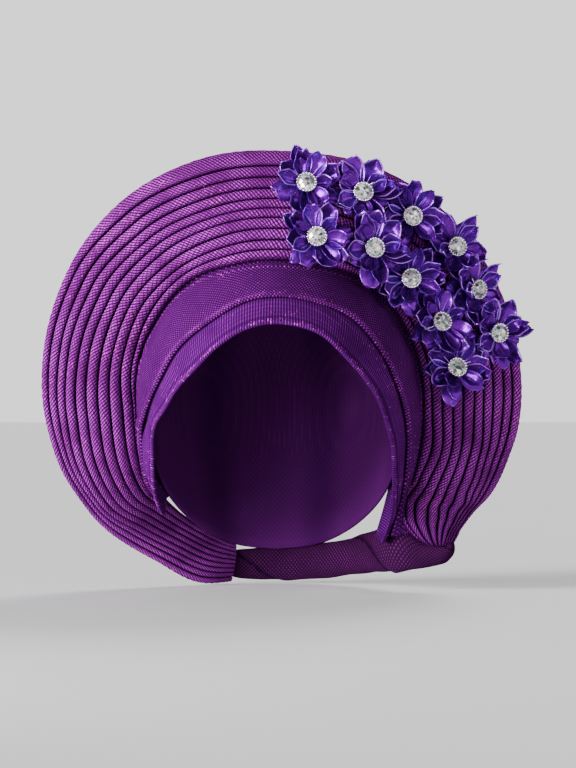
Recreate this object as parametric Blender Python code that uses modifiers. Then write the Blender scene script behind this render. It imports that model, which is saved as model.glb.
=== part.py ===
"""A tied gele head tie: two forehead bands, a pleated fan gathered at one side, a plain crown cap,
a rolled tail round the nape and a spray of ribbon flowers with cut stones.

Metres, +Z up. The face looks along -Y and +X is the wearer's left. The origin is the inside of the
crown, where the head tie sits on the head.
"""

import math
from collections import namedtuple

import bmesh
import bpy
from mathutils import Matrix, Vector
from mathutils.bvhtree import BVHTree

# The head that the tie is wound round
HEAD_HALF_WIDTH = 0.0765
HEAD_FRONT = 0.096
HEAD_BACK = 0.098
CROWN_HEIGHT = 0.095  # from the widest level up to the crown
SIDE_TAPER = 0.20  # how much narrower the head is one crown height below its widest level
NAPE_TAPER = 0.22

# Cloth walls, and the air between wound layers
CAP_WALL = 0.0016
BAND_WALL = 0.0018
FAN_WALL = 0.0024  # measured square to the fan, so a pleat's steep side is about 1.5 mm thick
LAYER_GAP = 0.0009
EDGE_GAP = 0.0008
EDGE_TUCK = 0.0030  # how far the cross band runs on under the fan's inner edge
SEAT_GAP = 0.0005

# The pleated fan
PLEAT_COUNT = 10
PLEAT_RISE = 0.0040
PLEAT_SHOULDER = 0.28  # where a pleat is fully up, a share of its breadth from its grooves
FAN_REACH = 0.070  # from the head to the rim, seen from the front
FAN_STAND = 0.010  # how far the fan's inner edge can stand off the bands
FAN_BULGE = 0.007
FAN_STATIONS = 38

# The bands across the forehead
BROW_BELLY = 0.0036
BROW_STATIONS = 30
CROSS_BELLY = 0.0014
CROSS_STATIONS = 28

# The roll round the nape
ROLL_STAND = 0.047
ROLL_HALF_HEIGHT = 0.0090
ROLL_HALF_DEPTH = 0.0070
ROLL_STATIONS = 20
ROLL_SIDES = 10

# The ribbon flowers
FLOWER_RADIUS = 0.0175
UPPER_PETAL_SHARE = 0.80
PETAL_COUNT = 6  # in each of the two rounds
PETAL_SHOULDER = 0.68  # where a petal is widest, a share of its reach
PETAL_FILL = 0.88  # a petal's share of the room between its neighbours
PETAL_TIP = 0.42  # the tip's share of the petal's greatest width
PETAL_RISE = 0.0034
UPPER_PETAL_RISE = 0.0042
PETAL_WALL = 0.0010
HUB_RADIUS = 0.0068
HUB_HEIGHT = 0.0046

# The stones and their settings
SETTING_RADIUS = 0.0063
SETTING_HEIGHT = 0.0022
SETTING_LIP = 0.0013
SETTING_FLOOR = 0.0007
STONE_RISE = 0.0017
STONE_TABLE_SHARE = 0.55
STONE_SIDES = 10
SETTING_SIDES = 10

# Angles are in degrees round the head from the face, positive towards +X. A height is a share of the
# crown height, 1 at the crown and 0 at the head's widest level.
FanRow = namedtuple("FanRow", "azimuth height stand out reach back")
# out is the way the fan stands out, seen from the front, in degrees from straight up. reach and back are
# shares of FAN_REACH, and stand is a share of FAN_STAND.
FAN_ROWS = [
    FanRow(-158, -0.97, 0.00, -172, 0.34, -0.08),
    FanRow(-147, -0.90, 0.00, -158, 0.46, -0.12),
    FanRow(-132, -0.78, 0.00, -144, 0.49, -0.06),
    FanRow(-116, -0.63, 0.00, -133, 0.56, 0.12),
    FanRow(-100, -0.51, 0.00, -108, 0.625, 0.27),
    FanRow(-90, -0.30, 0.00, -98, 0.75, 0.34),
    FanRow(-88, -0.04, 0.05, -91, 0.835, 0.28),
    FanRow(-85, 0.23, 0.20, -77, 0.86, 0.28),
    FanRow(-80, 0.50, 0.00, -59, 0.91, 0.30),
    FanRow(-60, 0.72, 0.00, -41, 0.94, 0.42),
    FanRow(-26, 0.81, 0.00, -20, 0.99, 0.54),
    FanRow(3, 0.83, 0.00, 4, 0.965, 0.55),
    FanRow(36, 0.80, 0.00, 28, 0.98, 0.48),
    FanRow(66, 0.71, 0.00, 48, 0.945, 0.37),
    FanRow(78, 0.48, 0.30, 67, 0.92, 0.35),
    FanRow(84, 0.22, 0.50, 83, 0.90, 0.33),
    FanRow(88, -0.07, 0.53, 93, 0.87, 0.27),
    FanRow(90, -0.28, 0.45, 96, 0.81, 0.25),
    FanRow(92, -0.48, 0.30, 98, 0.74, 0.22),
    FanRow(93, -0.63, 0.05, 98, 0.655, 0.20),
    FanRow(91, -0.77, 0.40, 98, 0.51, 0.16),
    FanRow(90, -0.87, 1.30, 94, 0.36, 0.12),
    FanRow(91, -0.92, 2.05, 92, 0.22, 0.08),
]

BrowRow = namedtuple("BrowRow", "low_azimuth low high_azimuth high belly")
# Where the band's face edge and its hidden edge lie, and a share of BROW_BELLY for how far it
# swells between them.
BROW_ROWS = [
    BrowRow(-100, -0.74, -112, -0.60, 0.0),
    BrowRow(-90, -0.64, -106, -0.46, 0.5),
    BrowRow(-80, -0.52, -101, -0.32, 1.1),
    BrowRow(-74, -0.38, -98, -0.16, 0.9),
    BrowRow(-71, -0.24, -93, 0.00, 0.2),
    BrowRow(-65, -0.13, -84, 0.14, 0.1),
    BrowRow(-56, -0.04, -74, 0.27, 0.0),
    BrowRow(-47, 0.09, -62, 0.38, 0.0),
    BrowRow(-37, 0.21, -47, 0.52, 0.0),
    BrowRow(-27, 0.34, -33, 0.62, 0.0),
    BrowRow(-15, 0.44, -18, 0.68, 0.0),
    BrowRow(-2, 0.48, -2, 0.70, 0.0),
    BrowRow(12, 0.46, 14, 0.69, 0.0),
    BrowRow(23, 0.40, 29, 0.65, 0.0),
    BrowRow(33, 0.27, 45, 0.56, 0.1),
    BrowRow(42, 0.14, 58, 0.42, 0.2),
    BrowRow(50, 0.01, 72, 0.26, 0.4),
    BrowRow(57, -0.15, 86, 0.07, 0.6),
    BrowRow(63, -0.28, 95, -0.10, 0.8),
    BrowRow(67, -0.42, 101, -0.27, 0.7),
    BrowRow(72, -0.56, 105, -0.42, 0.9),
    BrowRow(80, -0.68, 108, -0.56, 1.0),
    BrowRow(92, -0.78, 112, -0.69, 0.6),
]

CrossRow = namedtuple("CrossRow", "fan_row azimuth height lift")
# fan_row is the place in FAN_ROWS that the band's upper edge meets. The rest places its lower edge, and
# lift is a share of BROW_BELLY for how far that edge rides up on the brow band.
CROSS_ROWS = [
    CrossRow(5.6, -84, -0.19, 0.35),
    CrossRow(6.0, -74, -0.08, 0.20),
    CrossRow(7.0, -60, 0.12, 0.00),
    CrossRow(8.0, -48, 0.33, 0.00),
    CrossRow(9.0, -33, 0.48, 0.00),
    CrossRow(10.0, -16, 0.60, 0.00),
    CrossRow(11.0, 2, 0.63, 0.00),
    CrossRow(12.0, 20, 0.60, 0.00),
    CrossRow(13.0, 39, 0.51, 0.10),
    CrossRow(14.0, 52, 0.32, 0.20),
    CrossRow(15.0, 61, 0.11, 0.40),
    CrossRow(16.0, 68, -0.06, 0.65),
    CrossRow(17.0, 78, -0.24, 0.90),
    CrossRow(18.0, 86, -0.40, 1.00),
    CrossRow(18.4, 88, -0.47, 1.10),
]

HemRow = namedtuple("HemRow", "height")
# The cap's hem every 30 degrees from the face to the nape, the same on both sides.
HEM_ROWS = [
    HemRow(0.57),
    HemRow(0.42),
    HemRow(0.08),
    HemRow(-0.36),
    HemRow(-0.72),
    HemRow(-0.94),
    HemRow(-1.0),
]

RollRow = namedtuple("RollRow", "azimuth height stand tall deep")
# stand, tall and deep are shares of ROLL_STAND, ROLL_HALF_HEIGHT and ROLL_HALF_DEPTH.
ROLL_ROWS = [
    RollRow(93, -1.00, 0.98, 0.45, 0.50),
    RollRow(93, -1.00, 0.89, 0.80, 0.85),
    RollRow(96, -0.995, 0.64, 1.14, 1.00),
    RollRow(100, -0.93, 0.38, 1.95, 1.00),
    RollRow(107, -0.94, 0.26, 1.98, 0.90),
    RollRow(117, -0.985, 0.23, 1.62, 0.85),
    RollRow(134, -1.03, 0.21, 1.40, 0.85),
    RollRow(154, -1.07, 0.21, 1.35, 0.80),
    RollRow(172, -1.09, 0.22, 1.30, 0.75),
    RollRow(186, -1.10, 0.23, 1.25, 0.70),
    RollRow(200, -1.10, 0.24, 1.15, 0.50),
]

FlowerRow = namedtuple("FlowerRow", "fan_row across turn nod spin")
# fan_row and across place a flower on the fan. turn and nod tip it towards +X and down, and spin turns its
# petals, all in degrees.
FLOWER_ROWS = [
    FlowerRow(11.26, 0.60, 0, 15, 0),
    FlowerRow(11.92, 0.64, -5, 10, 30),
    FlowerRow(12.60, 0.68, -15, 0, 0),
    FlowerRow(13.37, 0.76, 0, 0, 12),
    FlowerRow(11.59, 0.16, -5, 15, 42),
    FlowerRow(12.47, 0.24, -15, 0, 12),
    FlowerRow(13.39, 0.24, -10, 0, 24),
    FlowerRow(13.95, 0.68, 15, 0, 0),
    FlowerRow(14.31, 0.22, 0, -20, 24),
    FlowerRow(14.63, 0.74, 10, 0, 36),
    FlowerRow(15.19, 0.25, -5, -25, 6),
]

BASE_COLOURS = {
    "cloth": (0.235, 0.055, 0.290),
    "satin": (0.115, 0.035, 0.370),
    "silver": (0.800, 0.800, 0.820),
    "crystal": (0.860, 0.870, 0.880),
}


def row_at(rows, share):
    """The row a share of the way through a table, on a smooth curve through its rows."""
    last = len(rows) - 1
    place = max(0.0, min(1.0, share)) * last
    first = min(int(place), last - 1)
    part = place - first
    near = [rows[max(0, min(last, first + step))] for step in (-1, 0, 1, 2)]
    values = []
    for before, start, end, after in zip(*near):
        slope = (end - before) / 2
        slope_after = (after - start) / 2
        rise = end - start
        bend = 3 * rise - 2 * slope - slope_after
        twist = slope + slope_after - 2 * rise
        values.append(start + part * (slope + part * (bend + part * twist)))
    return type(rows[0])(*values)


def head_point(azimuth, height, standoff):
    """A point a standoff away from the head."""
    angle = math.radians(azimuth)
    deep = HEAD_FRONT if math.cos(angle) > 0 else HEAD_BACK
    if height > 0:
        level = math.sqrt(max(0.0, 1 - height * height))
        across = (HEAD_HALF_WIDTH + standoff) * level
        along = (deep + standoff) * level
        z = -CROWN_HEIGHT + height * (CROWN_HEIGHT + standoff)
    else:
        taper = NAPE_TAPER if math.cos(angle) <= 0 else 0.0
        across = HEAD_HALF_WIDTH * (1 - SIDE_TAPER * height * height) + standoff
        along = deep * (1 - taper * height * height) + standoff
        z = -CROWN_HEIGHT + height * CROWN_HEIGHT
    return Vector((across * math.sin(angle), -along * math.cos(angle), z))


def brow_inside():
    return CAP_WALL + LAYER_GAP


def cross_inside():
    return brow_inside() + BAND_WALL + LAYER_GAP


def fan_seat():
    return cross_inside() + BAND_WALL + EDGE_GAP + FAN_WALL / 2


def fan_edges(fan_row):
    """The fan's inner edge and its rim at a place in FAN_ROWS."""
    row = row_at(FAN_ROWS, fan_row / (len(FAN_ROWS) - 1))
    inner = head_point(row.azimuth, row.height, fan_seat() + row.stand * FAN_STAND)
    out = math.radians(row.out)
    way = Vector((row.reach * math.sin(out), row.back, row.reach * math.cos(out)))
    return inner, inner + FAN_REACH * way


def fan_normal(fan_row):
    """The way the fan faces at a place in FAN_ROWS, the same all across it."""
    step = 0.2
    inner, rim = fan_edges(fan_row)
    before = sum(fan_edges(fan_row - step), Vector())
    after = sum(fan_edges(fan_row + step), Vector())
    return (after - before).cross(rim - inner).normalized()


def fan_point(fan_row, across, rise):
    """A point on the fan, a share of the way across it and a rise in front of its middle surface."""
    inner, rim = fan_edges(fan_row)
    bulge = FAN_BULGE * 4 * across * (1 - across) * (rim - inner).length / FAN_REACH
    return inner.lerp(rim, across) + fan_normal(fan_row) * (bulge + rise)


def fan_foot(fan_row):
    """How far the fan's wall reaches in past its inner edge, because the fan leans over there."""
    row = row_at(FAN_ROWS, fan_row / (len(FAN_ROWS) - 1))
    outwards = head_point(row.azimuth, row.height, FAN_STAND) - head_point(row.azimuth, row.height, 0.0)
    return FAN_WALL / 2 * abs(outwards.normalized().dot(fan_normal(fan_row)))


def material(name, roughness, metallic=0.0):
    made = bpy.data.materials.new(name)
    made.use_nodes = True
    shader = made.node_tree.nodes["Principled BSDF"]
    shader.inputs["Base Color"].default_value = (*BASE_COLOURS[name], 1.0)
    shader.inputs["Roughness"].default_value = roughness
    shader.inputs["Metallic"].default_value = metallic
    return made


def new_object(name, mesh, collection, finish):
    made = bpy.data.objects.new(name, mesh)
    collection.objects.link(made)
    if not mesh.materials:
        mesh.materials.append(finish)
    return made


def grid_faces(rows, columns, closed=False):
    """The quads of a grid of points, given row by row. A closed grid's last column joins its first."""
    faces = []
    for i in range(rows - 1):
        for j in range(columns if closed else columns - 1):
            k = (j + 1) % columns
            faces.append((i * columns + j, i * columns + k, (i + 1) * columns + k, (i + 1) * columns + j))
    return faces


def surface(name, grid, collection, finish, wall, closed=False):
    """An open sheet through a grid of points, thickened away from the head."""
    mesh = bpy.data.meshes.new(name)
    points = [point for row in grid for point in row]
    mesh.from_pydata(points, [], grid_faces(len(grid), len(grid[0]), closed))
    sheet = new_object(name, mesh, collection, finish)
    weld_points(mesh)
    middle = mesh.polygons[len(mesh.polygons) // 2]
    if middle.normal.dot(middle.center + Vector((0, 0, CROWN_HEIGHT))) < 0:
        mesh.flip_normals()
    mesh.shade_smooth()
    thickness = sheet.modifiers.new("wall", "SOLIDIFY")
    thickness.thickness = wall
    thickness.offset = 1.0
    return sheet


def weld_points(mesh):
    """Makes points that lie together one, as at a crown where a whole row of points meets."""
    shape = bmesh.new()
    shape.from_mesh(mesh)
    bmesh.ops.remove_doubles(shape, verts=shape.verts, dist=1e-6)
    shape.to_mesh(mesh)
    shape.free()


def crown_cap(collection, finish):
    """A plain close cap over the crown and the back of the head, open below."""
    turns = 32
    levels = 8
    grid = []
    for level in range(levels):
        ring = []
        for turn in range(turns):
            azimuth = 360 * turn / turns
            hem = row_at(HEM_ROWS, min(azimuth, 360 - azimuth) / 180).height
            drop = 1 - math.cos(math.pi / 2 * level / (levels - 1))
            ring.append(head_point(azimuth, 1 - drop * (1 - hem), 0.0))
        grid.append(ring)
    return surface("crown_cap", grid, collection, finish, CAP_WALL, closed=True)


def between(start, end, share):
    return start + share * (end - start)


def brow_band(collection, finish):
    """The band that edges the face, wound over the cap's hem."""
    columns = 3
    grid = []
    for station in range(BROW_STATIONS + 1):
        row = row_at(BROW_ROWS, station / BROW_STATIONS)
        line = []
        for column in range(columns + 1):
            share = column / columns
            azimuth = between(row.low_azimuth, row.high_azimuth, share)
            height = between(row.low, row.high, share)
            swell = 4 * share**1.2 * (1 - share**1.2) * row.belly * BROW_BELLY
            line.append(head_point(azimuth, height, brow_inside() + swell))
        grid.append(line)
    return surface("brow_band", grid, collection, finish, BAND_WALL)


def cross_band(collection, finish):
    """The wider band that crosses over the brow band and runs up to the fan's inner edge."""
    columns = 3
    grid = []
    for station in range(CROSS_STATIONS + 1):
        row = row_at(CROSS_ROWS, station / CROSS_STATIONS)
        edge = row_at(FAN_ROWS, row.fan_row / (len(FAN_ROWS) - 1))
        low_stand = cross_inside() + row.lift * BROW_BELLY
        foot = fan_foot(row.fan_row)
        high_stand = fan_seat() + edge.stand * FAN_STAND - foot - EDGE_GAP - BAND_WALL
        low_point = head_point(row.azimuth, row.height, low_stand)
        width = (head_point(edge.azimuth, edge.height, high_stand) - low_point).length
        line = []
        for column in range(columns + 1):
            share = column / columns * (1 + EDGE_TUCK / max(width, EDGE_TUCK))
            azimuth = between(row.azimuth, edge.azimuth, share)
            height = between(row.height, edge.height, share)
            swell = max(0.0, 4 * share * (1 - share) * CROSS_BELLY)
            line.append(head_point(azimuth, height, between(low_stand, high_stand, share) + swell))
        grid.append(line)
    return surface("cross_band", grid, collection, finish, BAND_WALL)


def pleat_profile():
    """The places of each pleat's groove and shoulders across the fan, each with its share of the rise."""
    profile = []
    for pleat in range(PLEAT_COUNT):
        profile.append((pleat / PLEAT_COUNT, 0.0))
        profile.append(((pleat + PLEAT_SHOULDER) / PLEAT_COUNT, 1.0))
        profile.append(((pleat + 1 - PLEAT_SHOULDER) / PLEAT_COUNT, 1.0))
    return profile + [(1.0, 0.0)]


def pleated_fan(collection, finish):
    """The fan: one pleated sheet round the head, its front and back both following the pleats.

    Both sides are moved along one direction at each section, so the wall stays whole where the pleats
    crowd together at the gather, which Solidify's own normals would not.
    """
    profile = pleat_profile()
    front = []
    back = []
    for station in range(FAN_STATIONS + 1):
        place = station / FAN_STATIONS * (len(FAN_ROWS) - 1)
        inner, rim = fan_edges(place)
        rise = PLEAT_RISE * min(1.0, (rim - inner).length / FAN_REACH)
        front.append([fan_point(place, across, rise * share + FAN_WALL / 2) for across, share in profile])
        back.append([fan_point(place, across, rise * share - FAN_WALL / 2) for across, share in profile])
    rows = len(front)
    columns = len(profile)
    count = rows * columns
    faces = grid_faces(rows, columns)
    faces += [tuple(index + count for index in reversed(face)) for face in grid_faces(rows, columns)]
    border = [j for j in range(columns)]
    border += [i * columns + columns - 1 for i in range(1, rows)]
    border += [(rows - 1) * columns + j for j in range(columns - 2, -1, -1)]
    border += [i * columns for i in range(rows - 2, 0, -1)]
    for here, there in zip(border, border[1:] + border[:1]):
        faces.append((there, here, here + count, there + count))
    mesh = bpy.data.meshes.new("pleated_fan")
    mesh.from_pydata([point for line in front + back for point in line], [], faces)
    face_outwards(mesh)
    mesh.shade_smooth()
    return new_object("pleated_fan", mesh, collection, finish)


def face_outwards(mesh):
    shape = bmesh.new()
    shape.from_mesh(mesh)
    bmesh.ops.recalc_face_normals(shape, faces=shape.faces)
    shape.to_mesh(mesh)
    shape.free()


def roll_centre(share):
    row = row_at(ROLL_ROWS, share)
    return head_point(row.azimuth, row.height, row.stand * ROLL_STAND)


def nape_roll(collection, finish):
    """The rolled tail: it starts where the fan is gathered and lies round the nape."""
    up = Vector((0, 0, 1))
    grid = []
    for station in range(ROLL_STATIONS + 1):
        share = station / ROLL_STATIONS
        row = row_at(ROLL_ROWS, share)
        step = 0.5 / ROLL_STATIONS
        along = roll_centre(share + step) - roll_centre(share - step)
        outwards = up.cross(along).normalized()
        ring = []
        for side in range(ROLL_SIDES):
            turn = 2 * math.pi * side / ROLL_SIDES
            tall = up * math.sin(turn) * row.tall * ROLL_HALF_HEIGHT
            deep = outwards * math.cos(turn) * row.deep * ROLL_HALF_DEPTH
            ring.append(roll_centre(share) + tall + deep)
        grid.append(ring)
    faces = grid_faces(len(grid), ROLL_SIDES, closed=True)
    faces.append(tuple(range(ROLL_SIDES)))
    faces.append(tuple(ROLL_STATIONS * ROLL_SIDES + side for side in range(ROLL_SIDES)))
    mesh = bpy.data.meshes.new("nape_roll")
    mesh.from_pydata([point for ring in grid for point in ring], [], faces)
    face_outwards(mesh)
    mesh.shade_smooth()
    return new_object("nape_roll", mesh, collection, finish)


def draw_petal(shape, face, reach, low, high):
    """Draws a side face of the hub out into one petal, widest past its middle and blunt at the tip."""
    out = (face.calc_center_median() * Vector((1, 1, 0))).normalized()
    across = Vector((-out.y, out.x, 0))
    shoulder = PETAL_SHOULDER * reach
    wide = PETAL_FILL * shoulder * math.sin(math.pi / PETAL_COUNT)
    middle = between(low, high, PETAL_SHOULDER)
    for distance, half_width, height in ((shoulder, wide, middle), (reach, PETAL_TIP * wide, high)):
        face = bmesh.ops.extrude_discrete_faces(shape, faces=[face])["faces"][0]
        centre = face.calc_center_median()
        for vert in face.verts:
            offset = vert.co - centre
            side = math.copysign(half_width, offset.dot(across))
            rise = math.copysign(PETAL_WALL / 2, offset.z)
            vert.co = out * distance + across * side + Vector((0, 0, height + rise))


def flower_mesh(finish):
    """Two rounds of petals drawn out of one hub, as a mesh that every flower shares."""
    sides = 2 * PETAL_COUNT
    shape = bmesh.new()
    rings = []
    for height in (0.0, HUB_HEIGHT / 2, HUB_HEIGHT):
        ring = []
        for side in range(sides):
            turn = 2 * math.pi * (side - 0.5) / sides
            ring.append(shape.verts.new((HUB_RADIUS * math.cos(turn), HUB_RADIUS * math.sin(turn), height)))
        rings.append(ring)
    shape.faces.new(reversed(rings[0]))
    shape.faces.new(rings[2])
    for side in range(sides):
        after = (side + 1) % sides
        lower = shape.faces.new((rings[0][side], rings[0][after], rings[1][after], rings[1][side]))
        upper = shape.faces.new((rings[1][side], rings[1][after], rings[2][after], rings[2][side]))
        if side % 2:
            reach = FLOWER_RADIUS * UPPER_PETAL_SHARE
            draw_petal(shape, upper, reach, HUB_HEIGHT, HUB_HEIGHT + UPPER_PETAL_RISE)
        else:
            draw_petal(shape, lower, FLOWER_RADIUS, HUB_HEIGHT / 4, HUB_HEIGHT / 4 + PETAL_RISE)
    mesh = bpy.data.meshes.new("flower")
    shape.to_mesh(mesh)
    shape.free()
    mesh.materials.append(finish)
    return mesh


def turned_mesh(name, profile, sides, finish):
    """A turned shape from a profile of (radius, height) points, run down its outer side."""
    mesh = bpy.data.meshes.new(name)
    edges = [(i, i + 1) for i in range(len(profile) - 1)]
    mesh.from_pydata([(radius, 0.0, height) for radius, height in profile], edges, [])
    guide = bpy.data.objects.new(name, mesh)
    bpy.context.scene.collection.objects.link(guide)
    turned = guide.modifiers.new("turned", "SCREW")
    turned.steps = sides
    turned.render_steps = sides
    turned.use_merge_vertices = True
    turned.merge_threshold = 0.00001
    bpy.context.view_layer.update()
    made = bpy.data.meshes.new_from_object(guide.evaluated_get(bpy.context.evaluated_depsgraph_get()))
    made.name = name
    made.materials.append(finish)
    bpy.data.objects.remove(guide)
    return made


def setting_mesh(finish):
    """A round cup whose hollow narrows down to a floor, with a lip that holds the stone."""
    profile = [
        (0.0, SETTING_FLOOR),
        (SETTING_RADIUS - SETTING_LIP, SETTING_HEIGHT),
        (SETTING_RADIUS, SETTING_HEIGHT * 0.8),
        (SETTING_RADIUS, 0.0),
        (0.0, 0.0),
    ]
    return turned_mesh("setting", profile, SETTING_SIDES, finish)


def stone_mesh(finish):
    """A cut stone: a table, a ring of crown facets, a narrow girdle and a point below."""
    girdle = SETTING_RADIUS - SETTING_LIP
    low = SETTING_HEIGHT + 0.5 * SEAT_GAP
    profile = [
        (0.0, low + STONE_RISE),
        (girdle * STONE_TABLE_SHARE, low + STONE_RISE),
        (girdle, low + 2 * SEAT_GAP),
        (0.0, SETTING_FLOOR + 2 * SEAT_GAP),
    ]
    return turned_mesh("stone", profile, STONE_SIDES, finish)


def ray_room(points, tree, way):
    """The least distance from any of the points along a way to a shape, or None where none meets it."""
    found = [tree.ray_cast(point, way)[3] for point in points]
    found = [distance for distance in found if distance is not None]
    return min(found) if found else None


def touch_points(mesh):
    """The mesh's corners, and points along its edges, which can meet another edge between corners."""
    points = [vertex.co.copy() for vertex in mesh.vertices]
    for edge in mesh.edges:
        start, end = (mesh.vertices[index].co for index in edge.vertices)
        points += [start.lerp(end, share) for share in (0.25, 0.5, 0.75)]
    return points


def seated(frame, mesh, fan_tree, fan_points):
    """The frame moved along its own axis until the mesh rests on the fan."""
    axis = frame.to_3x3() @ Vector((0, 0, 1))
    start = frame.translation + axis * FLOWER_RADIUS
    raised = Matrix.Translation(start) @ frame.to_3x3().to_4x4()
    corners = [raised @ vertex.co for vertex in mesh.vertices]
    tree = BVHTree.FromPolygons(corners, [tuple(face.vertices) for face in mesh.polygons])
    points = [raised @ point for point in touch_points(mesh)]
    near = [point for point in fan_points if (point - start).length < 2.5 * FLOWER_RADIUS]
    rooms = [ray_room(points, fan_tree, -axis), ray_room(near, tree, axis)]
    drop = min(room for room in rooms if room is not None) - SEAT_GAP
    return Matrix.Translation(start - axis * drop) @ frame.to_3x3().to_4x4()


def flower_frame(row):
    """Where a flower lies before it is seated: its axis square to the fan, then tipped by its row."""
    point = fan_point(row.fan_row, row.across, PLEAT_RISE)
    face = fan_normal(row.fan_row)
    face = Matrix.Rotation(math.radians(row.turn), 3, "Z") @ face
    face = Matrix.Rotation(math.radians(row.nod), 3, "X") @ face
    turned = face.to_track_quat("Z", "X").to_matrix().to_4x4()
    return Matrix.Translation(point) @ turned @ Matrix.Rotation(math.radians(row.spin), 4, "Z")


def flowers(collection, fan, finishes):
    flower = flower_mesh(finishes["satin"])
    setting = setting_mesh(finishes["silver"])
    stone = stone_mesh(finishes["crystal"])
    corners = [vertex.co for vertex in fan.data.vertices]
    fan_tree = BVHTree.FromPolygons(corners, [tuple(face.vertices) for face in fan.data.polygons])
    fan_points = touch_points(fan.data)
    for number, row in enumerate(FLOWER_ROWS, 1):
        frame = seated(flower_frame(row), flower, fan_tree, fan_points)
        placed = new_object(f"flower_{number:02d}", flower, collection, finishes["satin"])
        placed.matrix_world = frame
        on_hub = Matrix.Translation((0, 0, HUB_HEIGHT + SEAT_GAP))
        for name, mesh, finish in (("setting", setting, "silver"), ("stone", stone, "crystal")):
            piece = new_object(f"{name}_{number:02d}", mesh, collection, finishes[finish])
            piece.matrix_world = frame @ on_hub


def new_collection(name):
    made = bpy.data.collections.new(name)
    bpy.context.scene.collection.children.link(made)
    return made


def main():
    for old in list(bpy.data.objects):
        bpy.data.objects.remove(old)
    parts = new_collection("gele_head_tie")
    finishes = {
        "cloth": material("cloth", 0.55),
        "satin": material("satin", 0.30),
        "silver": material("silver", 0.20, 1.0),
        "crystal": material("crystal", 0.05),
    }
    crown_cap(parts, finishes["cloth"])
    brow_band(parts, finishes["cloth"])
    cross_band(parts, finishes["cloth"])
    fan = pleated_fan(parts, finishes["cloth"])
    nape_roll(parts, finishes["cloth"])
    flowers(parts, fan, finishes)


main()
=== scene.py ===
"""The looks of a tied gele head tie: pleated and wound cloth, ribbon flowers and cut stones.

Metres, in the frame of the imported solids: +Z up, the face looks along -Y, +X is the wearer's left, and
the origin is the inside of the crown. The wound shapes repeat the sizes and tables of part.py.
"""

import math
import random
from collections import namedtuple

import bmesh
import bpy
from mathutils import Matrix, Vector, noise


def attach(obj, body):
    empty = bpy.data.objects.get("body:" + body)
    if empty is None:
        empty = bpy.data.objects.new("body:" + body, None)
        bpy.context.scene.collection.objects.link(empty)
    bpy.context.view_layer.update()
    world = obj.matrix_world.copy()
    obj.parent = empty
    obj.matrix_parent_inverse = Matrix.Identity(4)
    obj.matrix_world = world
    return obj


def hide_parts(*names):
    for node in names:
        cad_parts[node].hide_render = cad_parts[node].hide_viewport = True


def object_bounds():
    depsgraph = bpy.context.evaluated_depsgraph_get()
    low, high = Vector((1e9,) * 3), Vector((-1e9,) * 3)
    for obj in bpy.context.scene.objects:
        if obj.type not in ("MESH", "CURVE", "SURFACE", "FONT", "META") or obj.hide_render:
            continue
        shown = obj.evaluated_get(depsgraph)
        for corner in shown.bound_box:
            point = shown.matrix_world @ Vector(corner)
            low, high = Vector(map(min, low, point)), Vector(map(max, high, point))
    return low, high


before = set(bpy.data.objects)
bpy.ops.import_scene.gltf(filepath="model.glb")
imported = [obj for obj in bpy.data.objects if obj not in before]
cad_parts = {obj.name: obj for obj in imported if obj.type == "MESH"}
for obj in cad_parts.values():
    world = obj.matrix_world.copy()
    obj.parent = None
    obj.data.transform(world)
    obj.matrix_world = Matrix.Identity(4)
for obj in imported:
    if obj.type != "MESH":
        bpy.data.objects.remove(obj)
cad_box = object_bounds()

# The head that the tie is wound round, and the cloth's walls and gaps, as in part.py
HEAD_HALF_WIDTH = 0.0765
HEAD_FRONT = 0.096
HEAD_BACK = 0.098
CROWN_HEIGHT = 0.095
SIDE_TAPER = 0.20
NAPE_TAPER = 0.22
CAP_WALL = 0.0016
BAND_WALL = 0.0018
FAN_WALL = 0.0024
LAYER_GAP = 0.0009
EDGE_GAP = 0.0008
EDGE_TUCK = 0.0030
SEAT_GAP = 0.0005
PLEAT_COUNT = 10
PLEAT_RISE = 0.0040
FAN_REACH = 0.070
FAN_STAND = 0.010
FAN_BULGE = 0.007
BROW_BELLY = 0.0036
CROSS_BELLY = 0.0014
ROLL_STAND = 0.047
ROLL_HALF_HEIGHT = 0.0090
ROLL_HALF_DEPTH = 0.0070
SETTING_RADIUS = 0.0063
SETTING_HEIGHT = 0.0022
HUB_HEIGHT = 0.0046

# The cloth's finer forms
FAN_STATIONS = 330
TUBE_POINTS = 13  # round the front of one pleat
BACK_POINTS = 6  # across the back of one pleat
TUBE_SHARE = 0.85  # a pleat's roll, a share of the room between two grooves
TUBE_RISE = 1.15  # a pleat's height in the cloth, a share of the solid's
TUCK_ANGLE = 30  # how far a pleat's roll turns in under itself at a groove, in degrees
BAND_STATIONS = 300
BAND_POINTS = 44  # across a band's outer side
HEM_WIDTH = 0.0021
HEM_RISE = 0.0007
LIP_START = 0.0018  # how far behind the fan's middle the cross band turns outwards
LIP_REACH = 0.0045
CAP_TURNS = 120
CAP_LEVELS = 44
GATHER_SWING = 0.0026  # how far the inner pleats swing in before the gather
ROLL_STATIONS = 150
ROLL_SIDES = 48

# The camera, at the photograph's viewing angle
CAMERA_PLACE = (0.0074, -1.8, -0.083)
CAMERA_LENS = 136.1  # in millimetres, as the sensor is
SENSOR_WIDTH = 36.0

# The ribbon flowers
PETAL_REACH = 0.0212
PETAL_HALF_WIDTH = 0.0069
PETAL_WALL = 0.0005
PETAL_ROWS = 14
PETAL_SIDES = (-1.0, -0.93, -0.78, -0.55, -0.28, 0.0, 0.28, 0.55, 0.78, 0.93, 1.0)
HUB_RADIUS = 0.0058
BEAD_COUNT = 20
BEAD_RADIUS = 0.00082
WIRE_RADIUS = 0.00035
STONE_RADIUS = 0.0052
STONE_RISE = 0.0021

FanRow = namedtuple("FanRow", "azimuth height stand out reach back")
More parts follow.
